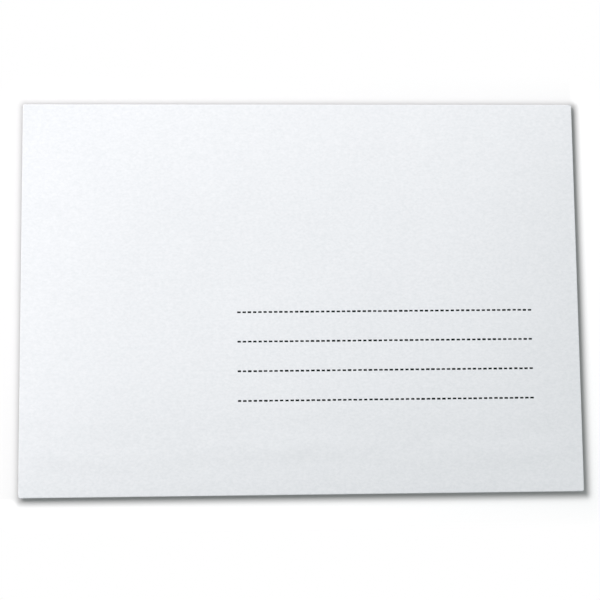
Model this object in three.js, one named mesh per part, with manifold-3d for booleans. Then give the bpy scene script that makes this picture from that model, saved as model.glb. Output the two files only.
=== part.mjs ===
import * as THREE from "three";
import { mergeVertices } from "three/addons/utils/BufferGeometryUtils.js";
import Module from "manifold-3d";

// An empty C6 envelope of white paper, lying on a table with its address side up.
// It is one die-cut sheet. Two pointed side flaps are folded in behind the front panel. The bottom
// flap is folded up over them and glued to them in two slanting seams. The closing flap is folded
// down over the throat and isn't stuck, so the pocket is open to the outside under it.
// Millimetres, with +X along the long side, +Y towards the closing flap's fold and +Z up.
// The origin is on the table, under the middle of the envelope.

// Envelope and paper
const ENVELOPE_WIDTH = 162;
const ENVELOPE_HEIGHT = 114;
const PAPER_THICKNESS = 0.1;
const PAPER_COLOUR = 0xf2f4f6;
const PAPER_ROUGHNESS = 0.85;

// Folds: the radius is that of the side folds, at the middle of the paper.
// Each fold line stops short of the corner by the notch, so that the flaps clear each other there.
const FOLD_RADIUS = 0.14;
const CORNER_NOTCH = 0.2;

// How the sheet lies. The paper's spring lifts the folds off the table and swells the front panel,
// and both level out within the roll width of a fold. Layers that lie together keep the layer gap.
const FOLD_LIFT = 0.8;
const FRONT_SWELL = 1.1;
const ROLL_WIDTH = 32;
const LAYER_GAP = 0.06;

// Side flaps. A shoulder is the short square edge that a flap has at each end of its fold.
const SIDE_FLAP_DEPTH = 70;
const SIDE_FLAP_TIP_RADIUS = 10;
const SIDE_FLAP_SHOULDER = 1.5;

// Bottom flap. Its slanting edges run alongside those of the side flaps, the seam overlap past them.
const SEAM_OVERLAP = 9;
const BOTTOM_FLAP_TIP_RADIUS = 22;

// Closing flap
const CLOSING_FLAP_DEPTH = 66;
const CLOSING_FLAP_TIP_RADIUS = 14;
const CLOSING_FLAP_SHOULDER = 3;

// Glue in the seams: it stays the margin inside the overlap, and soaks halfway into both papers.
const GLUE_MARGIN = 1.5;

// Fineness of the facets
const PANEL_STEP = 6.5;
const TIP_STEP = 4;
const FOLD_FACETS = 6;
const FLAP_ROWS = 10;
const GLUE_COLUMNS = 12;
const GLUE_ROWS = 2;
const WELD_DISTANCE = 1e-4;

// Layers behind the front panel, counted up from the table
const CLOSING_LAYER = 0;
const BOTTOM_LAYER = 1;
const SIDE_LAYER = 2;

const layerPitch = PAPER_THICKNESS + LAYER_GAP;
const rimHeight = layerHeightAtFold(SIDE_LAYER) + 2 * FOLD_RADIUS;

// The folds stand out past the flat panel by their bulge. The bottom and closing flaps wrap round
// more layers than the side flaps do, so their folds are fuller.
const sideBulge = FOLD_RADIUS;
const endBulge = FOLD_RADIUS + layerPitch / 2;
const panelHalfX = ENVELOPE_WIDTH / 2 - PAPER_THICKNESS / 2 - sideBulge;
const panelHalfY = ENVELOPE_HEIGHT / 2 - PAPER_THICKNESS / 2 - endBulge;
const sideFoldHalf = panelHalfY - CORNER_NOTCH;
const endFoldHalf = panelHalfX - CORNER_NOTCH;

// The middle of the paper in a layer, where it meets its fold
function layerHeightAtFold(layer) {
  return PAPER_THICKNESS / 2 + layer * layerPitch + FOLD_LIFT;
}

// How far the sheet is past its folds' curl: 0 at a fold, rising smoothly to 1 at the roll width.
function settled(x, y) {
  const curl = (distance) => Math.max(0, 1 - distance / ROLL_WIDTH) ** 2;
  return (1 - curl(panelHalfX - Math.abs(x))) * (1 - curl(panelHalfY - Math.abs(y)));
}

function frontHeight(x, y) {
  return rimHeight + FRONT_SWELL * settled(x, y);
}

function layerHeight(layer, x, y) {
  return layerHeightAtFold(layer) - FOLD_LIFT * settled(x, y);
}

// The outline of a flap, as its depth at a place along the fold, counted from the fold's middle.
// From the shoulder, at the fold's end, it slants inwards at an angle to the fold and then runs
// smoothly round the tip.
function flapOutline(halfFold, shoulder, slant, tipRadius) {
  const tipCentre = shoulder + halfFold * Math.tan(slant) - tipRadius / Math.cos(slant);
  const tipHalfWidth = tipRadius * Math.sin(slant);
  const depthAt = (along) => {
    const offset = Math.abs(along);
    if (offset < tipHalfWidth) {
      return tipCentre + Math.sqrt(tipRadius ** 2 - offset ** 2);
    }
    return shoulder + (halfFold - offset) * Math.tan(slant);
  };
  return { slant, tipHalfWidth, depthAt };
}

// The slant that gives a flap a stated depth: the edge from the shoulder touches the tip's circle.
function slantForDepth(halfFold, shoulder, depth, tipRadius) {
  const rise = depth - tipRadius - shoulder;
  return Math.atan2(rise, halfFold) + Math.asin(tipRadius / Math.hypot(halfFold, rise));
}

const sideOutline = flapOutline(
  sideFoldHalf,
  SIDE_FLAP_SHOULDER,
  slantForDepth(sideFoldHalf, SIDE_FLAP_SHOULDER, SIDE_FLAP_DEPTH, SIDE_FLAP_TIP_RADIUS),
  SIDE_FLAP_TIP_RADIUS,
);

const closingOutline = flapOutline(
  endFoldHalf,
  CLOSING_FLAP_SHOULDER,
  slantForDepth(endFoldHalf, CLOSING_FLAP_SHOULDER, CLOSING_FLAP_DEPTH, CLOSING_FLAP_TIP_RADIUS),
  CLOSING_FLAP_TIP_RADIUS,
);

// The seams slant as the side flaps' edges do, so the bottom flap's shoulder follows from the overlap.
const seamSlant = Math.PI / 2 - sideOutline.slant;
const bottomShoulder =
  CORNER_NOTCH +
  (CORNER_NOTCH - SIDE_FLAP_SHOULDER) * Math.tan(seamSlant) +
  SEAM_OVERLAP / Math.cos(seamSlant);
const bottomOutline = flapOutline(
  endFoldHalf,
  bottomShoulder,
  seamSlant,
  BOTTOM_FLAP_TIP_RADIUS,
);

// Evenly spaced values from first to last
function evenly(first, last, steps) {
  return Array.from({ length: steps + 1 }, (_, i) => first + ((last - first) * i) / steps);
}

// The places along a fold where the sheet has a row of points: close together over the flaps' tips
// and wider apart outside them, the same on both sides of the middle.
function foldLines(halfFold, tipHalfWidth) {
  const tip = evenly(0, tipHalfWidth, Math.ceil(tipHalfWidth / TIP_STEP));
  const edge = evenly(tipHalfWidth, halfFold, Math.ceil((halfFold - tipHalfWidth) / PANEL_STEP));
  const right = [...tip, ...edge.slice(1)];
  const left = right.slice(1).map((line) => -line);
  return [...left.reverse(), ...right];
}

const endLines = foldLines(
  endFoldHalf,
  Math.max(bottomOutline.tipHalfWidth, closingOutline.tipHalfWidth),
);
const sideLines = foldLines(sideFoldHalf, sideOutline.tipHalfWidth);

// A surface from a grid of points, with columns × rows points in all. Its outside is the side from
// which the columns run to the right and the rows run up.
function gridSurface(columns, rows, pointAt) {
  const points = [];
  const triangles = [];
  for (let row = 0; row < rows; row++) {
    for (let column = 0; column < columns; column++) {
      points.push(pointAt(column, row));
    }
  }
  for (let row = 0; row + 1 < rows; row++) {
    for (let column = 0; column + 1 < columns; column++) {
      const near = row * columns + column;
      const far = near + columns;
      triangles.push([near, near + 1, far + 1], [near, far + 1, far]);
    }
  }
  return { points, triangles };
}

function frontPanel() {
  const xLines = [-panelHalfX, ...endLines, panelHalfX];
  const yLines = [-panelHalfY, ...sideLines, panelHalfY];
  return gridSurface(xLines.length, yLines.length, (column, row) => {
    const x = xLines[column];
    const y = yLines[row];
    return new THREE.Vector3(x, y, frontHeight(x, y));
  });
}

// One fold and the flap behind it. The fold lies on the side of the panel that out points to, and
// the rows run down the paper: half an ellipse round the fold, then back under the front panel.
function foldAndFlap({ out, foldDistance, bulge, lines, outline, layer }) {
  const along = new THREE.Vector2(out.y, -out.x);
  const rows = FOLD_FACETS + FLAP_ROWS + 1;
  return gridSurface(lines.length, rows, (column, row) => {
    const place = lines[column];
    const turn = (Math.PI * Math.min(row, FOLD_FACETS)) / FOLD_FACETS;
    const flapShare = Math.max(0, row - FOLD_FACETS) / FLAP_ROWS;
    const depth = outline.depthAt(place) * flapShare;
    const distance = foldDistance + bulge * Math.sin(turn) - depth;
    const x = along.x * place + out.x * distance;
    const y = along.y * place + out.y * distance;
    if (row > FOLD_FACETS) {
      return new THREE.Vector3(x, y, layerHeight(layer, x, y));
    }
    const flapEdge = layerHeightAtFold(layer);
    const middle = (rimHeight + flapEdge) / 2;
    const radius = (rimHeight - flapEdge) / 2;
    return new THREE.Vector3(x, y, middle + radius * Math.cos(turn));
  });
}

const sideFlap = {
  foldDistance: panelHalfX,
  bulge: sideBulge,
  lines: sideLines,
  outline: sideOutline,
  layer: SIDE_LAYER,
};
const endFlap = { foldDistance: panelHalfY, bulge: endBulge, lines: endLines };
const folds = [
  { ...sideFlap, out: new THREE.Vector2(-1, 0) },
  { ...sideFlap, out: new THREE.Vector2(1, 0) },
  {
    ...endFlap,
    out: new THREE.Vector2(0, -1),
    outline: bottomOutline,
    layer: BOTTOM_LAYER,
  },
  {
    ...endFlap,
    out: new THREE.Vector2(0, 1),
    outline: closingOutline,
    layer: CLOSING_LAYER,
  },
];

// The glue in one seam, midway between the bottom flap and the side flap that it holds. It fills the
// overlap of the two slanting edges, less the margin, as far as the side flap's tip.
function glueSurface(side) {
  const margin = GLUE_MARGIN / Math.cos(seamSlant);
  const tipDepth = sideOutline.depthAt(sideOutline.tipHalfWidth);
  const ends = [endFoldHalf - GLUE_MARGIN, panelHalfX - tipDepth + GLUE_MARGIN];
  const [first, last] = ends.map((x) => x * side).sort((a, b) => a - b);
  return gridSurface(GLUE_COLUMNS + 1, GLUE_ROWS + 1, (column, row) => {
    const x = first + ((last - first) * column) / GLUE_COLUMNS;
    const flapDepth = panelHalfX - Math.abs(x);
    const sideEdge = (flapDepth - SIDE_FLAP_SHOULDER) * Math.tan(seamSlant) - sideFoldHalf;
    const bottomEdge = bottomOutline.depthAt(x) - panelHalfY;
    const low = sideEdge + margin;
    const high = bottomEdge - margin;
    const y = low + ((high - low) * row) / GLUE_ROWS;
    return new THREE.Vector3(x, y, layerHeight(BOTTOM_LAYER, x, y) + layerPitch / 2);
  });
}

// Several surfaces as one, welded along the edges that they share
function joined(surfaces) {
  const positions = [];
  const index = [];
  for (const { points, triangles } of surfaces) {
    const offset = positions.length / 3;
    points.forEach((point) => positions.push(point.x, point.y, point.z));
    triangles.forEach((corners) => index.push(...corners.map((corner) => corner + offset)));
  }
  const geometry = new THREE.BufferGeometry();
  geometry.setAttribute("position", new THREE.Float32BufferAttribute(positions, 3));
  geometry.setIndex(index);
  return mergeVertices(geometry, WELD_DISTANCE);
}

// Gives a surface its thickness: a skin on each side, half the thickness away along the normals,
// and a wall round every free edge.
function thickened(surface, thickness) {
  surface.computeVertexNormals();
  const position = surface.getAttribute("position");
  const normal = surface.getAttribute("normal");
  const count = position.count;
  const skins = [];
  for (const side of [1, -1]) {
    for (let i = 0; i < count; i++) {
      const point = new THREE.Vector3().fromBufferAttribute(position, i);
      const step = new THREE.Vector3().fromBufferAttribute(normal, i);
      point.addScaledVector(step, (side * thickness) / 2);
      skins.push(point.x, point.y, point.z);
    }
  }
  const corners = surface.index.array;
  const index = [];
  const edges = new Map();
  for (let i = 0; i < corners.length; i += 3) {
    const [a, b, c] = corners.slice(i, i + 3);
    index.push(a, b, c, a + count, c + count, b + count);
    for (const [from, to] of [[a, b], [b, c], [c, a]]) {
      edges.set(`${from} ${to}`, [from, to]);
    }
  }
  for (const [from, to] of edges.values()) {
    if (!edges.has(`${to} ${from}`)) {
      index.push(to, from, from + count, to, from + count, to + count);
    }
  }
  const geometry = new THREE.BufferGeometry();
  geometry.setAttribute("position", new THREE.Float32BufferAttribute(skins, 3));
  geometry.setIndex(index);
  return geometry;
}

const wasm = await Module();
wasm.setup();

function solidOf(geometry) {
  return new wasm.Manifold(
    new wasm.Mesh({
      numProp: 3,
      vertProperties: geometry.getAttribute("position").array,
      triVerts: new Uint32Array(geometry.index.array),
    }),
  );
}

function geometryOf(solid) {
  const mesh = solid.getMesh();
  const geometry = new THREE.BufferGeometry();
  geometry.setAttribute("position", new THREE.BufferAttribute(mesh.vertProperties, 3));
  geometry.setIndex(new THREE.BufferAttribute(mesh.triVerts, 1));
  return geometry;
}

function gluedSheet() {
  const sheet = joined([frontPanel(), ...folds.map(foldAndFlap)]);
  const glueThickness = LAYER_GAP + PAPER_THICKNESS;
  const seams = [-1, 1].map((side) => thickened(joined([glueSurface(side)]), glueThickness));
  const parts = [thickened(sheet, PAPER_THICKNESS), ...seams];
  return geometryOf(parts.map(solidOf).reduce((whole, part) => whole.add(part)));
}

const paper = new THREE.MeshStandardMaterial({
  color: PAPER_COLOUR,
  roughness: PAPER_ROUGHNESS,
  metalness: 0,
  flatShading: true,
});

const envelopeSheet = new THREE.Mesh(gluedSheet(), paper);
envelopeSheet.name = "envelope_sheet";

const envelope = new THREE.Group();
envelope.add(envelopeSheet);

export default envelope;
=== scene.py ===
import math

import bpy
import numpy as np
from mathutils import Matrix, Vector


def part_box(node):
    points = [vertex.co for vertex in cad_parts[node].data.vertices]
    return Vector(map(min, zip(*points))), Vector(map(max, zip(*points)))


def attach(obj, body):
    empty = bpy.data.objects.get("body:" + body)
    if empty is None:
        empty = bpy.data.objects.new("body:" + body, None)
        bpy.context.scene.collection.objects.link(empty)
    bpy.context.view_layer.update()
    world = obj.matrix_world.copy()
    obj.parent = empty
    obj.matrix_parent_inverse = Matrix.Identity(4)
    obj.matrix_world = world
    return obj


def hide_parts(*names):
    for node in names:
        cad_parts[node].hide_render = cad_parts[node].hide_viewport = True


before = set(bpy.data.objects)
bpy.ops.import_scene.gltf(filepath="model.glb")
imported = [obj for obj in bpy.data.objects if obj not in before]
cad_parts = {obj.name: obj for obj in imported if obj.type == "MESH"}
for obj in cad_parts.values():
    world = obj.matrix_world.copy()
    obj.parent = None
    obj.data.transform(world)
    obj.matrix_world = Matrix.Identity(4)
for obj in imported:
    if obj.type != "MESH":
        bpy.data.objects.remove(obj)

# A plain white C6 envelope, lying with its address side up. It is one sheet of paper, folded four
# times and glued. All sizes are in metres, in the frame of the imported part: +X to the right as the
# address is read, +Y to the top edge, +Z up out of the address side, with the table at zero.

bl_info = {
    "name": "Plain paper envelope",
    "version": (1, 0, 0),
    "blender": (4, 5, 0),
    "location": "3D Viewport > Sidebar > Envelope",
    "description": "Folds an envelope from one sheet of paper and prints its address lines",
    "category": "Add Mesh",
}

SHEET_NODE = "envelope_sheet"
BODY = "root"

MM = 0.001
SHEET_LOW, SHEET_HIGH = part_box(SHEET_NODE)
SHEET_WIDTH = SHEET_HIGH.x - SHEET_LOW.x
SHEET_HEIGHT = SHEET_HIGH.y - SHEET_LOW.y

# Fineness of the meshes
PANEL_STEP = 1.15 * MM
FOLD_FACETS = 10
FLAP_ROWS = 42
SEAM_COLUMNS = 60
SEAM_ROWS = 8
WELD_DISTANCE = 0.0001 * MM

# Sine waves in the paper. Each has its height against the others, how fast it turns to the right
# and upwards, and the angle at which it starts. The bends and the swells turn along the bottom
# fold, by the share of its half length. The two creases are multiplied with each other.
COCKLE_BENDS = ((1.0, 5.1, 0.0, 1.9), (0.4, 13.0, 0.0, 0.0))
COCKLE_SWELLS = ((0.27, 7.4, 0.0, math.pi / 2 + 0.6), (0.13, 17.0, 0.0, math.pi / 2 - 1.0))
CREASE_WAVES = ((1.0, 0.35, 1.0, 0.0), (1.0, 0.6, -0.4, 1.3))
WANDER_WAVES = ((1.0, 0.9, 0.4, 0.7), (1.0, -0.5, 1.1, 2.1), (0.5, 1.7, -0.8, 4.0))

# The share of the cockle's height that swells and fades, and how much faster than the panel's own
# swell it rises from nothing at a fold to its full height
COCKLE_SWELL_SHARE = 0.4
COCKLE_RISE = 4

# A dash's grid of points, how much of the height of its round-cornered curve it fills, how square
# that curve is, and how much its length, width and place vary
DASH_COLUMNS = 6
DASH_ROWS = 3
DASH_FILL = 0.86
DASH_SQUARENESS = 5.0
DASH_LENGTH_SPREAD = 0.07
DASH_WIDTH_SPREAD = 0.08
DASH_PLACE_SPREAD = 0.03 * MM
DASH_RISE_SPREAD = 0.02 * MM
DASH_SEED = 57

# The paper's looks: the sizes of its fibre clouds, of their slow drift and of its grain, how much
# the grain is stretched, the share that the clouds have beside the drift and the grain beside both,
# the noise levels from and to which each turns into thin paper, how much grain and clouds stand
# out, the strength of that relief and how far the roughness varies
PAPER_CLOUDS = 1.4 * MM
PAPER_DRIFT = 14 * MM
PAPER_GRAIN = 0.62 * MM
GRAIN_STRETCH = (0.7, 1.0, 1.0)
CLOUD_SHARE = 0.75
GRAIN_SHARE = 0.6
CLOUD_RAMP = (0.36, 0.66)
GRAIN_RAMP = (0.33, 0.67)
GRAIN_RELIEF = 0.7
CLOUD_RELIEF = 0.6
RELIEF_STRENGTH = 0.8
ROUGHNESS_SPREAD = 0.08

# The sizes of the ink's grain and of its broader patches, the share of the grain beside them, the
# noise levels from and to which the ink turns thin, and its roughness
INK_GRAIN = 0.16 * MM
INK_PATCHES = 1.3 * MM
INK_GRAIN_SHARE = 0.7
INK_RAMP = (0.45, 0.7)
INK_ROUGHNESS = 0.6
INK_ROUGHNESS_SPREAD = 0.25

# The size and the stretch of the glue's streaks, how much paler they are, and its roughness
GLUE_STREAKS = 1.6 * MM
STREAK_STRETCH = (0.4, 1.0, 1.0)
STREAK_PALER = 1.1
GLUE_ROUGHNESS = 0.3
GLUE_ROUGHNESS_SPREAD = 0.3

# How much the dull paper and ink shine, and the white that the camera sees round the envelope
DULL_SHINE = 0.15
WHITE = (1.0, 1.0, 1.0, 1.0)

# The floor: its size, its grey in all light that doesn't go straight to the camera, how fast the
# grey that the camera sees grows away from the lamps, per metre, and the width in which it changes
# to that of the sides away from the lamps.
FLOOR_SIZE = 6.0
FLOOR_GREY = 0.8
FLOOR_SLOPE = 0.54
AWAY_WIDTH = 1.5 * MM

# Round the envelope's outline, moved away from the lamps by the shift, the floor has a painted
# shadow: a dark rim painted into its colour.
# From the fade's start on, the floor turns even white over the fade's width.
PAINTED_SHADOW_SHIFT = 0.7 * MM
PAINTED_SHADOW_DEPTH = 0.54
PAINTED_SHADOW_REACH = 1.6 * MM
FADE_START = 3.4 * MM
FADE_WIDTH = 6 * MM

# The camera's lens and sensor, the nearest and the farthest that it sees, the size of the picture,
# the lens in its pixels, and where the envelope's corners are in the photograph, in its pixels from
# the top left: top left, top right, bottom right and bottom left.
LENS = 0.075
SENSOR_WIDTH = 0.036
SEEN_FROM = 0.01
SEEN_TO = 20.0
PICTURE_SIZE = 600.0
LENS_PIXELS = LENS / SENSOR_WIDTH * PICTURE_SIZE
PHOTO_CORNERS = np.array([[23.3, 103.8], [569.6, 104.2], [584.3, 492.6], [18.8, 498.4]])

# The camera's fit starts where the envelope is so many pixels wide. It takes a number of rounds,
# measures slopes over a small step, and holds the lens shift near zero by its stiffness.
ENVELOPE_PIXELS = 555.0
FIT_ROUNDS = 40
FIT_STEP = 1e-6
SHIFT_STIFFNESS = 4e3


def length(name, default, description):
    """A length that a user may change, in metres."""
    return bpy.props.FloatProperty(
        name=name,
        description=description,
        default=default,
        min=0.0,
        precision=5,
        subtype="DISTANCE",
        unit="LENGTH",
    )


def angle(name, default, description):
    """An angle that a user may change, given here in degrees."""
    return bpy.props.FloatProperty(
        name=name,
        description=description,
        default=math.radians(default),
        subtype="ANGLE",
        unit="ROTATION",
    )


def place(name, default, description):
    """A point that a user may change, in metres."""
    return bpy.props.FloatVectorProperty(
        name=name,
        description=description,
        default=default,
        size=3,
        precision=4,
        subtype="TRANSLATION",
        unit="LENGTH",
    )


def colour(name, default, description):
    """A linear colour that a user may change."""
    return bpy.props.FloatVectorProperty(
        name=name,
        description=description,
        default=default,
        size=3,
        min=0.0,
        max=1.0,
        subtype="COLOR",
    )


def number(name, default, description, high=100.0):
    """A plain number that a user may change."""
    return bpy.props.FloatProperty(
        name=name, description=description, default=default, min=0.0, max=high, precision=4
    )


def count(name, default, description, high):
    """A whole number that a user may change."""
    return bpy.props.IntProperty(
        name=name, description=description, default=default, min=1, max=high
    )


class EnvelopeSheetSizes(bpy.types.PropertyGroup):
    """The folded sheet: the sizes of the paper, its folds and its four flaps."""

    paper_thickness: length("Paper thickness", 0.1 * MM, "Thickness of the paper")
    layer_gap: length("Layer gap", 0.06 * MM, "Air between two layers that lie together")
    fold_radius: length("Fold radius", 0.14 * MM, "Radius of the side folds, mid-paper")
    corner_notch: length("Corner notch", 0.05 * MM, "How far each fold stops short of a corner")
    fold_lift: length("Fold lift", 0.8 * MM, "Height of the folds above the table")
    front_swell: length("Front swell", 1.1 * MM, "Rise of the front panel above its folds")
    roll_width: length("Roll width", 32 * MM, "Distance from a fold in which the paper levels out")
    side_depth: length("Side flap depth", 70 * MM, "Depth of the two side flaps")
    side_tip: length("Side flap tip", 10 * MM, "Radius of the side flaps' tips")
    side_shoulder: length("Side flap shoulder", 1.5 * MM, "Square edge beside the side folds")
    seam_overlap: length("Seam overlap", 9 * MM, "Width in which bottom and side flaps overlap")
    bottom_tip: length("Bottom flap tip", 22 * MM, "Radius of the bottom flap's tip")
    closing_depth: length("Closing flap depth", 66 * MM, "Depth of the closing flap")
    closing_tip: length("Closing flap tip", 14 * MM, "Radius of the closing flap's tip")
    closing_shoulder: length("Closing flap shoulder", 3 * MM, "Square edge beside its fold")
    glue_margin: length("Glue margin", 1.5 * MM, "How far the glue stays inside the overlap")


class EnvelopeReliefSizes(bpy.types.PropertyGroup):
    """The slight waves that the paper of the front panel has."""

    cockle_height: length("Cockle height", 0.088 * MM, "Height of the waves above the bottom fold")
    cockle_spacing: length("Cockle spacing", 11 * MM, "Distance from one wave to the next")
    cockle_place: length("Cockle place", 12 * MM, "Distance of the middle wave from the fold")
    cockle_reach: length("Cockle reach", 10 * MM, "Distance over which the waves die away")
    cockle_drift: length("Cockle drift", 2.2 * MM, "How far the waves bend up and down")
    crease_height: length("Crease height", 0.014 * MM, "Height of the small creases there")
    crease_spacing: length("Crease spacing", 5.5 * MM, "Distance from one crease to the next")
    wander_height: length("Wander height", 0.05 * MM, "Height of the paper's broad unevenness")
    wander_spacing: length("Wander spacing", 46 * MM, "Size of the broad unevenness")


class AddressLineSizes(bpy.types.PropertyGroup):
    """The printed lines, placed from the left and top edges of the envelope."""

    line_count: count("Lines", 4, "Number of address lines", 8)
    dash_count: count("Dashes", 57, "Number of dashes in a line", 90)
    from_left: length("From the left", 62.75 * MM, "Left edge to the first dash's middle")
    from_top: length("From the top", 61.59 * MM, "Top edge to the first line's first dash")
    line_spacing: length("Line spacing", 8.515 * MM, "Distance from one line to the next")
    dash_spacing: length("Dash spacing", 1.512 * MM, "Distance from one dash to the next")
    dash_length: length("Dash length", 1.02 * MM, "Length of a dash")
    dash_width: length("Dash width", 0.52 * MM, "Width of a dash")
    ink_height: length("Ink height", 0.012 * MM, "How far the ink stands out of the paper")
    skew: angle("Skew", 0.145, "How far the print is turned on the sheet")


class EnvelopeFinish(bpy.types.PropertyGroup):
    """Colours and surface qualities of the paper, the ink and the glue."""

    paper: colour("Paper", (0.87, 0.886, 0.908), "Colour of the white paper")
    paper_thin: colour("Thin paper", (0.788, 0.81, 0.833), "Paper where its fibres lie thinner")
    paper_roughness: number("Paper roughness", 0.86, "Roughness of the paper", high=1.0)
    fibre_relief: length("Fibre relief", 0.008 * MM, "Height of the paper's fibres")
    ink: colour("Ink", (0.002, 0.005, 0.005), "Colour of the printing ink")
    ink_thin: colour("Thin ink", (0.007, 0.012, 0.012), "Ink where the paper shows through")
    glue: colour("Glue", (0.78, 0.74, 0.62), "Colour of the dried glue")


class EnvelopeStage(bpy.types.PropertyGroup):
    """The lamps, the sky and the floor."""

    key_power: number("Key power", 8.5, "Power of the large lamp, in watts")
    key_place: place("Key place", (-0.66, 0.62, 0.66), "Middle of the large lamp")
    key_size: length("Key size", 0.6, "Side of the large lamp")
    key_colour: colour("Key colour", (1.0, 0.945, 0.96), "Colour of the large lamp")
    spot_power: number("Spot power", 3.4, "Power of the spot lamp, in watts")
    spot_place: place("Spot place", (-0.33, 0.3, 0.5), "Place of the spot lamp")
    spot_aim: place("Spot aim", (-0.24, 0.38, 0.0), "Point that the spot lamp is turned to")
    spot_cone: angle("Spot cone", 94.8, "Full angle of the spot lamp's cone")
    spot_fade: number("Spot fade", 0.05, "Soft share of the cone", high=1.0)
    spot_radius: length("Spot radius", 0.06, "Radius of the spot lamp")
    sky_strength: number("Sky strength", 0.53, "Strength of the even light from all round")
    sky_colour: colour("Sky colour", (0.945, 1.0, 0.993), "Colour of the even light")
    floor_near: number("Floor, near", 0.975, "Grey of the floor on the lamps' side", high=4.0)
    floor_far: number("Floor, far", 1.13, "Grey of the floor away from the lamps", high=4.0)


class Socket:
    """A shader socket that can be used in Python expressions. Each operator adds a Math node."""

    def __init__(self, tree, link):
        self.tree = tree
        self.link = link

    def _math(self, operation, first, second=None, clamp=False):
        inputs = {0: first}
        if second is not None:
            inputs[1] = second
        settings = {"operation": operation, "use_clamp": clamp}
        return self.tree.node("ShaderNodeMath", settings, inputs)

    def __add__(self, other):
        return self._math("ADD", self, other)

    def __sub__(self, other):
        return self._math("SUBTRACT", self, other)

    def __rsub__(self, other):
        return self._math("SUBTRACT", other, self)

    def __mul__(self, other):
        return self._math("MULTIPLY", self, other)

    def __pow__(self, other):
        return self._math("POWER", self, other)

    def __rpow__(self, other):
        return self._math("POWER", other, self)

    def larger(self, other):
        return self._math("MAXIMUM", self, other)

    def size(self):
        return self._math("ABSOLUTE", self)

    def clamped(self):
        return self._math("ADD", self, 0.0, clamp=True)


class ShaderTree:
    """The emptied node tree of a material or a world, with one method that adds any node."""

    def __init__(self, owner):
        owner.use_nodes = True
        self.owner = owner
        self.nodes = owner.node_tree.nodes
        self.links = owner.node_tree.links
        self.nodes.clear()

    def node(self, kind, settings=None, inputs=None, output=0):
        """Adds a node of a kind, sets its settings, then fills its inputs with values or links."""
        made = self.nodes.new(kind)
        for key, value in (settings or {}).items():
            if key == "stops":
                self._set_stops(made.color_ramp, value)
            else:
                setattr(made, key, value)
        for key, value in (inputs or {}).items():
            if isinstance(value, Socket):
                self.links.new(value.link, made.inputs[key])
            elif value is not None:
                made.inputs[key].default_value = value
        return Socket(self, made.outputs[output]) if made.outputs else None

    @staticmethod
    def _set_stops(ramp, stops):
        while len(ramp.elements) > 1:
            ramp.elements.remove(ramp.elements[-1])
        for index, (position, grey) in enumerate(stops):
            element = ramp.elements[0] if index == 0 else ramp.elements.new(position)
            element.position = position
            element.color = (grey, grey, grey, 1.0)

    def object_place(self):
        return self.node("ShaderNodeTexCoord", output="Object")

    def noise(self, where, size, detail=2.0, roughness=0.5, stretch=(1.0, 1.0, 1.0)):
        """Noise whose clouds are about size metres across, from 0 to 1."""
        scaled = self.node(
            "ShaderNodeMapping", {"vector_type": "POINT"}, {"Vector": where, "Scale": stretch}
        )
        inputs = {
            "Vector": scaled,
            "Scale": 1.0 / size,
            "Detail": detail,
            "Roughness": roughness,
        }
        return self.node("ShaderNodeTexNoise", {"noise_dimensions": "3D"}, inputs)

    def ramp(self, value, low, high):
        """A grey that is 0 up to the low value and 1 from the high one on."""
        stops = [(low, 0.0), (high, 1.0)]
        return self.node("ShaderNodeValToRGB", {"stops": stops}, {"Fac": value})

    def blend(self, share, first, second):
        """A colour between two colours, by a share from 0 to 1."""
        settings = {"data_type": "RGBA", "blend_type": "MIX"}
        inputs = {0: share, 6: first, 7: second}
        return self.node("ShaderNodeMix", settings, inputs, output=2)

    def finish(self, shader):
        """Gives the tree its output and returns the material that owns it."""
        self.node("ShaderNodeOutputMaterial", None, {"Surface": shader})
        return self.owner


def opaque(rgb):
    return (*rgb, 1.0)


def new_material(name):
    return ShaderTree(bpy.data.materials.new(name))


def paper_material(finish):
    """White paper: cloudy where its fibres lie thicker or thinner, with a fine matt fibre relief."""
    tree = new_material("white_paper")
    where = tree.object_place()
    clouds = tree.noise(where, PAPER_CLOUDS, detail=3.0, roughness=0.6)
    drift = tree.noise(where, PAPER_DRIFT)
    grain = tree.noise(where, PAPER_GRAIN, roughness=0.6, stretch=GRAIN_STRETCH)
    cloudy = clouds * CLOUD_SHARE + drift * (1 - CLOUD_SHARE)
    thin_cloud = tree.ramp(cloudy, *CLOUD_RAMP)
    thin_grain = tree.ramp(grain, *GRAIN_RAMP)
    thin = thin_cloud * (1 - GRAIN_SHARE) + thin_grain * GRAIN_SHARE
    base = tree.blend(thin, opaque(finish.paper), opaque(finish.paper_thin))
    relief = grain * GRAIN_RELIEF + clouds * CLOUD_RELIEF
    bump = tree.node(
        "ShaderNodeBump",
        None,
        {"Strength": RELIEF_STRENGTH, "Distance": finish.fibre_relief, "Height": relief},
    )
    rough = grain * ROUGHNESS_SPREAD + (finish.paper_roughness - ROUGHNESS_SPREAD / 2)
    shader = tree.node(
        "ShaderNodeBsdfPrincipled",
        None,
        {
            "Base Color": base,
            "Roughness": rough,
            "Specular IOR Level": DULL_SHINE,
            "Normal": bump,
        },
    )
    return tree.finish(shader)


def ink_material(finish):
    """Black printing ink with a cold tinge, thinner where the paper's grain keeps it off."""
    tree = new_material("address_ink")
    where = tree.object_place()
    grain = tree.noise(where, INK_GRAIN, detail=3.0, roughness=0.65)
    patches = tree.noise(where, INK_PATCHES, detail=1.0)
    uneven = grain * INK_GRAIN_SHARE + patches * (1 - INK_GRAIN_SHARE)
    thin = tree.ramp(uneven, *INK_RAMP)
    base = tree.blend(thin, opaque(finish.ink), opaque(finish.ink_thin))
    rough = thin * INK_ROUGHNESS_SPREAD + INK_ROUGHNESS
    shader = tree.node(
        "ShaderNodeBsdfPrincipled",
        None,
        {"Base Color": base, "Roughness": rough, "Specular IOR Level": DULL_SHINE},
    )
    return tree.finish(shader)


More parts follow.
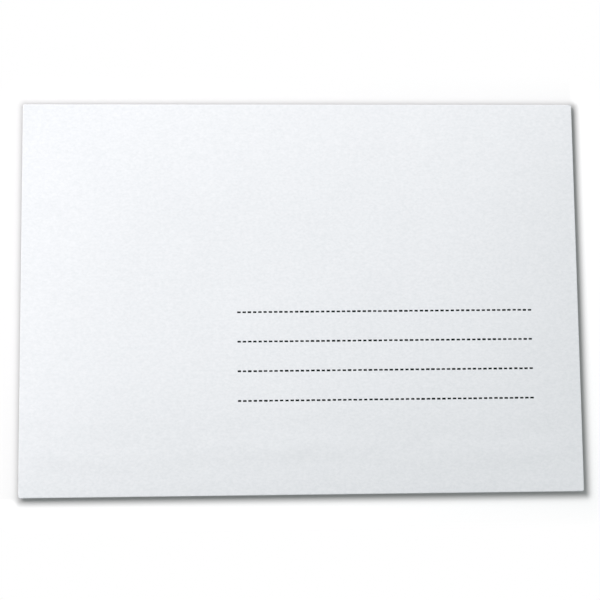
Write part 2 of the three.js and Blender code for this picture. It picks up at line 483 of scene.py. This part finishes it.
def glue_material(finish):
    """Dried glue, slightly yellow and uneven."""
    tree = new_material("dried_glue")
    streaks = tree.noise(tree.object_place(), GLUE_STREAKS, stretch=STREAK_STRETCH)
    pale = [min(1.0, channel * STREAK_PALER) for channel in finish.glue]
    base = tree.blend(streaks, opaque(finish.glue), opaque(pale))
    rough = streaks * GLUE_ROUGHNESS_SPREAD + GLUE_ROUGHNESS
    shader = tree.node(
        "ShaderNodeBsdfPrincipled",
        None,
        {"Base Color": base, "Roughness": rough},
    )
    return tree.finish(shader)


def floor_material(stage):
    """Pale floor, seen as white. Its grey is near + slope * (x - y), and past the right and the
    bottom edge, where the envelope keeps the lamps' light off, it is the far one. Its dark rim,
    a painted shadow, is depth * exp(-(distance / reach)**2), by the distance from the moved
    outline. Far off the camera sees even white."""
    tree = new_material("studio_floor")
    where = tree.object_place()
    x = tree.node("ShaderNodeSeparateXYZ", None, {"Vector": where}, output="X")
    y = tree.node("ShaderNodeSeparateXYZ", None, {"Vector": where}, output="Y")
    past_side = ((x - PAINTED_SHADOW_SHIFT).size() - SHEET_WIDTH / 2).larger(0.0)
    past_end = ((y + PAINTED_SHADOW_SHIFT).size() - SHEET_HEIGHT / 2).larger(0.0)
    distance = (past_side**2 + past_end**2) ** 0.5
    # Painted shadow: darkens the floor's colour that the camera sees near the envelope's outline
    rim = math.e ** (distance**2 * (-1.0 / PAINTED_SHADOW_REACH**2)) * PAINTED_SHADOW_DEPTH
    past_far_sides = (x - SHEET_WIDTH / 2).larger(-SHEET_HEIGHT / 2 - y)
    away = (past_far_sides * (1.0 / AWAY_WIDTH)).clamped()
    near = (x - y) * FLOOR_SLOPE + stage.floor_near
    seen = near + away * (stage.floor_far - near)
    to_camera = tree.node("ShaderNodeLightPath", output="Is Camera Ray")
    grey = to_camera * seen * (1.0 - rim) + (1.0 - to_camera) * FLOOR_GREY
    lit = tree.node(
        "ShaderNodeBsdfPrincipled",
        None,
        {"Base Color": grey, "Roughness": 1.0, "Specular IOR Level": 0.0},
    )
    white = tree.node("ShaderNodeEmission", None, {"Color": WHITE})
    far_off = ((distance - FADE_START) * (1.0 / FADE_WIDTH)).clamped()
    mixed = tree.node("ShaderNodeMixShader", None, {0: far_off * to_camera, 1: lit, 2: white})
    return tree.finish(mixed)


def wave(x, y, terms):
    """A sine wave over a plane: height * sin(right * x + up * y + start)."""
    height, right, up, start = terms
    return height * np.sin(right * x + up * y + start)


def mixed_waves(x, y, waves):
    """Several sine waves together: their sum divided by the sum of their heights."""
    return sum(wave(x, y, terms) for terms in waves) / sum(terms[0] for terms in waves)


class FoldedSheet:
    """The form of the folded sheet, as formulas on arrays. Heights are those of the mid-paper."""

    CLOSING_LAYER, BOTTOM_LAYER, SIDE_LAYER = 0, 1, 2

    def __init__(self, sizes, relief):
        self.sizes = sizes
        self.relief = relief
        self.pitch = sizes.paper_thickness + sizes.layer_gap
        self.side_bulge = sizes.fold_radius
        self.end_bulge = sizes.fold_radius + self.pitch / 2
        self.half_x = SHEET_WIDTH / 2 - sizes.paper_thickness / 2 - self.side_bulge
        self.half_y = SHEET_HEIGHT / 2 - sizes.paper_thickness / 2 - self.end_bulge
        self.side_fold = self.half_y - sizes.corner_notch
        self.end_fold = self.half_x - sizes.corner_notch
        self.rim = self.edge_height(self.SIDE_LAYER) + 2 * sizes.fold_radius
        self.side_slant = self._slant(
            self.side_fold, sizes.side_shoulder, sizes.side_depth, sizes.side_tip
        )
        self.closing_slant = self._slant(
            self.end_fold, sizes.closing_shoulder, sizes.closing_depth, sizes.closing_tip
        )
        self.seam_slant = math.pi / 2 - self.side_slant
        self.bottom_shoulder = (
            sizes.corner_notch
            + (sizes.corner_notch - sizes.side_shoulder) * math.tan(self.seam_slant)
            + sizes.seam_overlap / math.cos(self.seam_slant)
        )

    @staticmethod
    def _slant(half_fold, shoulder, depth, tip):
        """Angle of a flap's edge: a line from the shoulder that touches the tip's circle."""
        rise = depth - tip - shoulder
        return math.atan2(rise, half_fold) + math.asin(tip / math.hypot(half_fold, rise))

    @staticmethod
    def _outline(along, half_fold, shoulder, slant, tip):
        """Depth of a flap along its fold: the shoulder, a slanting edge and a round tip."""
        offset = np.abs(along)
        tip_centre = shoulder + half_fold * math.tan(slant) - tip / math.cos(slant)
        edge = shoulder + (half_fold - offset) * math.tan(slant)
        round_tip = tip_centre + np.sqrt(np.maximum(tip**2 - offset**2, 0.0))
        return np.where(offset < tip * math.sin(slant), round_tip, edge)

    def side_outline(self, along):
        sizes = self.sizes
        return self._outline(
            along, self.side_fold, sizes.side_shoulder, self.side_slant, sizes.side_tip
        )

    def bottom_outline(self, along):
        return self._outline(
            along, self.end_fold, self.bottom_shoulder, self.seam_slant, self.sizes.bottom_tip
        )

    def closing_outline(self, along):
        sizes = self.sizes
        return self._outline(
            along,
            self.end_fold,
            sizes.closing_shoulder,
            self.closing_slant,
            sizes.closing_tip,
        )

    def edge_height(self, layer):
        """Height of a layer where it meets its fold."""
        return self.sizes.paper_thickness / 2 + layer * self.pitch + self.sizes.fold_lift

    def settled(self, x, y):
        """0 at a fold, rising to 1 at the roll width as 1 - (1 - distance / width) squared."""

        def curl(distance):
            return np.maximum(0.0, 1.0 - distance / self.sizes.roll_width) ** 2

        return (1 - curl(self.half_x - np.abs(x))) * (1 - curl(self.half_y - np.abs(y)))

    def cockle(self, x, y):
        """Waves along the bottom fold: a cosine of the distance from it, under a bell curve, that
        bends up and down and swells and fades along the fold. Small creases cross them."""
        relief = self.relief
        share = x / self.half_x
        bend = relief.cockle_drift * mixed_waves(share, 0.0, COCKLE_BENDS)
        distance = y + self.half_y - relief.cockle_place - bend
        ridges = np.cos(2 * math.pi * distance / relief.cockle_spacing)
        bell = np.exp(-((distance / relief.cockle_reach) ** 2))
        swells = mixed_waves(share, 0.0, COCKLE_SWELLS)
        strength = 1 - COCKLE_SWELL_SHARE + COCKLE_SWELL_SHARE * swells
        turn = 2 * math.pi / relief.crease_spacing
        first, second = (wave(turn * x, turn * y, terms) for terms in CREASE_WAVES)
        waves = relief.cockle_height * ridges * strength + relief.crease_height * first * second
        return waves * bell

    def wander(self, x, y):
        """Broad unevenness: three slow sine waves that cross at different angles."""
        turn = 2 * math.pi / self.relief.wander_spacing
        return self.relief.wander_height * mixed_waves(turn * x, turn * y, WANDER_WAVES)

    def front_height(self, x, y):
        """The swell, with the waves on it. All waves die away at the folds, the broad ones slowly
        and the cockle only close to them."""
        level = self.settled(x, y)
        broad = self.wander(x, y) * level
        narrow = self.cockle(x, y) * np.minimum(1.0, COCKLE_RISE * level)
        return self.rim + self.sizes.front_swell * level + (broad + narrow)

    def layer_height(self, layer, x, y):
        return self.edge_height(layer) - self.sizes.fold_lift * self.settled(x, y)


def even_lines(half_fold):
    """An odd number of places from -half_fold to half_fold, about a panel step apart."""
    return np.linspace(-half_fold, half_fold, int(2 * half_fold / PANEL_STEP) | 1)


def grid_points(x, y, z):
    """The points of a grid, row by row."""
    return np.stack([x, y, z], axis=-1).reshape(-1, 3)


def grid_faces(columns, rows):
    """Quads of a grid whose points are numbered along its rows, facing the side from which the
    columns run right and the rows run up."""
    near = (np.arange(rows - 1)[:, None] * columns + np.arange(columns - 1)[None, :]).ravel()
    return np.stack([near, near + 1, near + 1 + columns, near + columns], axis=1)


def front_panel(form):
    """The front panel as a height over a grid of x and y."""
    x_lines = np.concatenate([[-form.half_x], even_lines(form.end_fold), [form.half_x]])
    y_lines = np.concatenate([[-form.half_y], even_lines(form.side_fold), [form.half_y]])
    x, y = np.meshgrid(x_lines, y_lines)
    return grid_points(x, y, form.front_height(x, y)), grid_faces(len(x_lines), len(y_lines))


def fold_and_flap(form, out, fold_distance, bulge, lines, outline, layer):
    """A fold and the flap behind it. The rows run down the paper: half an ellipse round the fold,
    distance + bulge * sin(turn) and middle + radius * cos(turn), then back to the outline."""
    along = np.array([out[1], -out[0]])
    rows = np.arange(FOLD_FACETS + FLAP_ROWS + 1)[:, None]
    turn = math.pi * np.minimum(rows, FOLD_FACETS) / FOLD_FACETS
    share = np.maximum(0, rows - FOLD_FACETS) / FLAP_ROWS
    across = lines[None, :]
    distance = fold_distance + bulge * np.sin(turn) - outline(across) * share
    x = along[0] * across + out[0] * distance
    y = along[1] * across + out[1] * distance
    edge = form.edge_height(layer)
    fold_height = (form.rim + edge) / 2 + (form.rim - edge) / 2 * np.cos(turn)
    z = np.where(rows > FOLD_FACETS, form.layer_height(layer, x, y), fold_height)
    return grid_points(x, y, z), grid_faces(len(lines), len(rows))


def joined(surfaces):
    """Several surfaces as one, with the points that they share made one point."""
    own_points, own_faces = zip(*surfaces)
    offsets = np.cumsum([0] + [len(points) for points in own_points[:-1]])
    points = np.concatenate(own_points)
    faces = np.concatenate([faces + offset for faces, offset in zip(own_faces, offsets)])
    keys = np.round(points / WELD_DISTANCE).astype(np.int64)
    _, first, same = np.unique(keys, axis=0, return_index=True, return_inverse=True)
    return points[first], same.reshape(-1)[faces]


def point_normals(points, faces):
    """Normals at the points, as the sum of the crossed diagonals of the faces round each."""
    a, b, c, d = (points[faces[:, i]] for i in range(4))
    crossed = np.cross(c - a, d - b)
    crossed /= np.linalg.norm(crossed, axis=1, keepdims=True)
    normals = np.zeros_like(points)
    for corner in range(4):
        np.add.at(normals, faces[:, corner], crossed)
    return normals / np.linalg.norm(normals, axis=1, keepdims=True)


def closed_faces(faces, point_count):
    """The faces of a closed body from those of one skin: the skin, its copy on the other side,
    whose points are numbered on by point_count, and a wall along each edge of only one face."""
    start = faces.ravel()
    end = np.roll(faces, -1, axis=1).ravel()
    free = ~np.isin(start * point_count + end, end * point_count + start)
    start, end = start[free], end[free]
    walls = np.stack([end, start, start + point_count, end + point_count], axis=1)
    return np.concatenate([faces, faces[:, ::-1] + point_count, walls])


def thickened(points, faces, thickness):
    """A closed body from a surface, with a skin half the thickness away on each side."""
    step = point_normals(points, faces) * thickness / 2
    return np.concatenate([points + step, points - step]), closed_faces(faces, len(points))


def mesh_object(name, points, faces, material, smooth=True):
    """A mesh object at the origin, from arrays of points and four-sided faces."""
    mesh = bpy.data.meshes.new(name)
    mesh.vertices.add(len(points))
    mesh.vertices.foreach_set("co", points.astype(np.float32).ravel())
    mesh.loops.add(faces.size)
    mesh.loops.foreach_set("vertex_index", faces.astype(np.int32).ravel())
    mesh.polygons.add(len(faces))
    mesh.polygons.foreach_set("loop_start", np.arange(0, faces.size, 4, dtype=np.int32))
    mesh.polygons.foreach_set("use_smooth", np.full(len(faces), smooth))
    mesh.update(calc_edges=True)
    mesh.validate()
    mesh.materials.append(material)
    return linked(bpy.data.objects.new(name, mesh))


def linked(made):
    """Puts a new object into the scene."""
    bpy.context.scene.collection.objects.link(made)
    return made


def sheet_form(context):
    return FoldedSheet(context.scene.envelope_sheet, context.scene.envelope_relief)


class FoldSheet(bpy.types.Operator):
    """Fold the envelope's sheet of paper"""

    bl_idname = "envelope.fold_sheet"
    bl_label = "Folded sheet"

    def execute(self, context):
        form = sheet_form(context)
        end_lines = even_lines(form.end_fold)
        side_lines = even_lines(form.side_fold)
        side = (form.half_x, form.side_bulge, side_lines, form.side_outline, form.SIDE_LAYER)
        bottom = (form.half_y, form.end_bulge, end_lines, form.bottom_outline, form.BOTTOM_LAYER)
        closing = (form.half_y, form.end_bulge, end_lines, form.closing_outline, form.CLOSING_LAYER)
        surfaces = [
            front_panel(form),
            fold_and_flap(form, (-1, 0), *side),
            fold_and_flap(form, (1, 0), *side),
            fold_and_flap(form, (0, -1), *bottom),
            fold_and_flap(form, (0, 1), *closing),
        ]
        body = thickened(*joined(surfaces), form.sizes.paper_thickness)
        material = paper_material(context.scene.envelope_finish)
        sheet = mesh_object("folded_sheet", *body, material)
        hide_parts(SHEET_NODE)
        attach(sheet, BODY)
        return {"FINISHED"}


class GlueSeams(bpy.types.Operator):
    """Glue the bottom flap to the side flaps along the two slanting seams"""

    bl_idname = "envelope.glue_seams"
    bl_label = "Glue in the seams"

    def execute(self, context):
        form = sheet_form(context)
        material = glue_material(context.scene.envelope_finish)
        for name, side in (("left_seam_glue", -1), ("right_seam_glue", 1)):
            body = thickened(*self.seam(form, side), form.sizes.layer_gap)
            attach(mesh_object(name, *body, material), BODY)
        return {"FINISHED"}

    @staticmethod
    def seam(form, side):
        """The strip between the slanting edges of the bottom flap and a side flap, less the margin
        on both sides, halfway between the two layers."""
        sizes = form.sizes
        margin = sizes.glue_margin / math.cos(form.seam_slant)
        tip_place = sizes.side_tip * math.sin(form.side_slant)
        tip_depth = float(form.side_outline(np.array(tip_place)))
        outer = side * (form.end_fold - sizes.glue_margin)
        inner = side * (form.half_x - tip_depth + sizes.glue_margin)
        across = np.linspace(min(outer, inner), max(outer, inner), SEAM_COLUMNS + 1)
        up = np.linspace(0.0, 1.0, SEAM_ROWS + 1)
        x, share = np.meshgrid(across, up)
        flap_depth = form.half_x - np.abs(x)
        side_edge = (flap_depth - sizes.side_shoulder) * math.tan(form.seam_slant) - form.side_fold
        low = side_edge + margin
        high = form.bottom_outline(x) - form.half_y - margin
        y = low + (high - low) * share
        z = form.layer_height(form.BOTTOM_LAYER, x, y) + form.pitch / 2
        return grid_points(x, y, z), grid_faces(len(across), len(up))


class PrintAddressLines(bpy.types.Operator):
    """Print the dashed address lines on the front panel"""

    bl_idname = "envelope.print_address_lines"
    bl_label = "Address lines"

    def execute(self, context):
        form = sheet_form(context)
        sizes = context.scene.envelope_lines
        material = ink_material(context.scene.envelope_finish)
        random = np.random.default_rng(DASH_SEED)
        for line in range(sizes.line_count):
            points, faces = self.line_of_dashes(form, sizes, line, random)
            name = f"address_line_{line + 1}"
            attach(mesh_object(name, points, faces, material, smooth=False), BODY)
        return {"FINISHED"}

    @staticmethod
    def dash_outline():
        """A grid over a dash with slightly round corners: each row is narrowed so that its ends lie
        on the curve |x|**squareness + |fill * y|**squareness = 1."""
        across = np.linspace(-1, 1, DASH_COLUMNS + 1)
        up = np.linspace(-1, 1, DASH_ROWS + 1)
        across, up = np.meshgrid(across, up)
        reach = (1 - (np.abs(up) * DASH_FILL) ** DASH_SQUARENESS) ** (1 / DASH_SQUARENESS)
        return across * reach, up

    def line_of_dashes(self, form, sizes, line, random):
        """All dashes of a line as closed slips of ink that lie on the paper, a little uneven in
        length, width and place."""
        across, up = self.dash_outline()
        dashes = np.arange(sizes.dash_count)[:, None, None]
        uneven = random.uniform(-1.0, 1.0, (4, sizes.dash_count, 1, 1))
        dash_length = sizes.dash_length * (1 + DASH_LENGTH_SPREAD * uneven[0])
        dash_width = sizes.dash_width * (1 + DASH_WIDTH_SPREAD * uneven[1])
        middle = dashes * sizes.dash_spacing + DASH_PLACE_SPREAD * uneven[2]
        along = middle + across * dash_length / 2
        rise = DASH_RISE_SPREAD * uneven[3] + up * dash_width / 2
        left = sizes.from_left - SHEET_WIDTH / 2
        top = SHEET_HEIGHT / 2 - sizes.from_top - line * sizes.line_spacing
        x = left + along * math.cos(sizes.skew) - rise * math.sin(sizes.skew)
        y = top + along * math.sin(sizes.skew) + rise * math.cos(sizes.skew)
        paper_top = form.front_height(x, y) + form.sizes.paper_thickness / 2
        skins = [paper_top + sizes.ink_height, paper_top - sizes.ink_height]
        points = np.stack([np.stack([x, y, skin], axis=-1) for skin in skins], axis=1)
        one_dash = closed_faces(grid_faces(DASH_COLUMNS + 1, DASH_ROWS + 1), up.size)
        faces = one_dash[None] + dashes * 2 * up.size
        return points.reshape(-1, 3), faces.reshape(-1, 4)


class SetStage(bpy.types.Operator):
    """Set up the floor, the lamps and the camera"""

    bl_idname = "envelope.set_stage"
    bl_label = "Stage"

    def execute(self, context):
        stage = context.scene.envelope_stage
        self.floor(stage)
        self.key_lamp(stage)
        self.spot_lamp(stage)
        context.scene.world = self.sky(stage)
        context.scene.camera = self.camera()
        context.scene.view_settings.view_transform = "Standard"
        return {"FINISHED"}

    @staticmethod
    def floor(stage):
        half = FLOOR_SIZE / 2
        points = np.array([[-half, -half, 0], [half, -half, 0], [half, half, 0], [-half, half, 0]])
        faces = np.array([[0, 1, 2, 3]])
        mesh_object("floor", points, faces, floor_material(stage), smooth=False)

    @staticmethod
    def lamp(name, kind, where, aim, power):
        """A lamp that is turned to a point and that the camera doesn't see."""
        data = bpy.data.lights.new(name, kind)
        data.energy = power
        lamp = linked(bpy.data.objects.new(name, data))
        lamp.location = where
        lamp.rotation_euler = (Vector(aim) - lamp.location).to_track_quat("-Z", "Y").to_euler()
        lamp.visible_camera = False
        return data

    def key_lamp(self, stage):
        """One large soft lamp at the upper left of the photograph's view."""
        data = self.lamp("key_lamp", "AREA", stage.key_place, (0.0, 0.0, 0.0), stage.key_power)
        data.shape = "SQUARE"
        data.size = stage.key_size
        data.color = stage.key_colour

    def spot_lamp(self, stage):
        """A spot lamp on the same side, whose cone fades out at the lower right corner."""
        data = self.lamp("spot_lamp", "SPOT", stage.spot_place, stage.spot_aim, stage.spot_power)
        data.spot_size = stage.spot_cone
        data.spot_blend = stage.spot_fade
        data.shadow_soft_size = stage.spot_radius
        data.color = stage.key_colour

    @staticmethod
    def sky(stage):
        """Even light from all round, seen as white by the camera, in gloss and through glass."""
        world = bpy.data.worlds.new("studio_sky")
        tree = ShaderTree(world)
        to_camera = tree.node("ShaderNodeLightPath", output="Is Camera Ray")
        in_gloss = tree.node("ShaderNodeLightPath", output="Is Glossy Ray")
        through = tree.node("ShaderNodeLightPath", output="Is Transmission Ray")
        seen = to_camera.larger(in_gloss).larger(through)
        light = tree.node(
            "ShaderNodeBackground",
            None,
            {"Color": opaque(stage.sky_colour), "Strength": stage.sky_strength},
        )
        white = tree.node("ShaderNodeBackground", None, {"Color": WHITE})
        mixed = tree.node("ShaderNodeMixShader", None, {0: seen, 1: light, 2: white})
        tree.node("ShaderNodeOutputWorld", None, {"Surface": mixed})
        return world

    @staticmethod
    def camera():
        """Places the camera so that the envelope's corners fall where the photograph has them."""
        data = bpy.data.cameras.new("camera")
        camera = linked(bpy.data.objects.new("camera", data))
        values = solve_camera()
        data.sensor_width = SENSOR_WIDTH / MM
        data.lens = LENS / MM
        data.shift_x, data.shift_y = values[6:8]
        data.clip_start = SEEN_FROM
        data.clip_end = SEEN_TO
        camera.matrix_world = Matrix.Translation(values[3:6]) @ camera_turn(values).to_4x4()
        return camera


def corner_points():
    """The outer corners of the envelope, about halfway up its folds."""
    sizes = bpy.context.scene.envelope_sheet
    height = sizes.fold_lift + 2 * sizes.layer_gap + 3 * sizes.paper_thickness
    half_x, half_y = SHEET_WIDTH / 2, SHEET_HEIGHT / 2
    signs = np.array([[-1, 1], [1, 1], [1, -1], [-1, -1]])
    return np.column_stack([signs * [half_x, half_y], np.full(4, height)])


def camera_turn(values):
    """Rotation of the camera by its first three values, about X, then Y, then Z."""
    tilt, lean, roll = values[:3]
    turns = Matrix.Rotation(roll, 3, "Z") @ Matrix.Rotation(lean, 3, "Y")
    return turns @ Matrix.Rotation(tilt, 3, "X")


def photo_places(values, points):
    """Pixels where the points fall for a camera given by three turns, a place and a shift."""
    seen = (points - values[3:6]) @ np.array(camera_turn(values))
    middle = PICTURE_SIZE / 2
    x = middle + LENS_PIXELS * seen[:, 0] / -seen[:, 2] - values[6] * PICTURE_SIZE
    y = middle - LENS_PIXELS * seen[:, 1] / -seen[:, 2] + values[7] * PICTURE_SIZE
    return np.stack([x, y], axis=1)


def solve_camera():
    """The eight camera values whose corners meet the photograph's, by damped least squares: each
    round solves (J'J + D) step = J'miss + D values, where D holds the shift near zero."""
    points = corner_points()
    height = LENS_PIXELS * SHEET_WIDTH / ENVELOPE_PIXELS
    values = np.array([0.0, 0.0, 0.0, 0.0, 0.0, height, 0.0, 0.0])
    stiffness = np.diag([0.0] * 6 + [SHIFT_STIFFNESS] * 2)
    for _ in range(FIT_ROUNDS):
        places = photo_places(values, points)
        slopes = np.empty((places.size, values.size))
        for i in range(values.size):
            moved = values.copy()
            moved[i] += FIT_STEP
            slopes[:, i] = (photo_places(moved, points) - places).ravel() / FIT_STEP
        pull = slopes.T @ (places - PHOTO_CORNERS).ravel() + stiffness @ values
        values = values - np.linalg.lstsq(slopes.T @ slopes + stiffness, pull, rcond=None)[0]
    return values


class EnvelopePanel(bpy.types.Panel):
    """Lists the pieces of the envelope and their sizes"""

    bl_idname = "VIEW3D_PT_envelope"
    bl_label = "Paper envelope"
    bl_space_type = "VIEW_3D"
    bl_region_type = "UI"
    bl_category = "Envelope"

    def draw(self, context):
        layout = self.layout
        for operator in OPERATORS:
            layout.operator(operator.bl_idname)
        for name in GROUPS:
            group = getattr(context.scene, name)
            box = layout.box()
            box.label(text=name.replace("_", " ").capitalize())
            for key in group.__annotations__:
                box.prop(group, key)


OPERATORS = (FoldSheet, GlueSeams, PrintAddressLines, SetStage)
GROUPS = {
    "envelope_sheet": EnvelopeSheetSizes,
    "envelope_relief": EnvelopeReliefSizes,
    "envelope_lines": AddressLineSizes,
    "envelope_finish": EnvelopeFinish,
    "envelope_stage": EnvelopeStage,
}


def register():
    for group in GROUPS.values():
        bpy.utils.register_class(group)
    for name, group in GROUPS.items():
        setattr(bpy.types.Scene, name, bpy.props.PointerProperty(type=group))
    for operator in OPERATORS:
        bpy.utils.register_class(operator)
    bpy.utils.register_class(EnvelopePanel)


def unregister():
    bpy.utils.unregister_class(EnvelopePanel)
    for operator in reversed(OPERATORS):
        bpy.utils.unregister_class(operator)
    for name in GROUPS:
        delattr(bpy.types.Scene, name)
    for group in GROUPS.values():
        bpy.utils.unregister_class(group)


def main():
    register()
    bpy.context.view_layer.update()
    bpy.ops.envelope.fold_sheet()
    bpy.ops.envelope.glue_seams()
    bpy.ops.envelope.print_address_lines()
    bpy.ops.envelope.set_stage()


if __name__ == "__main__":
    main()
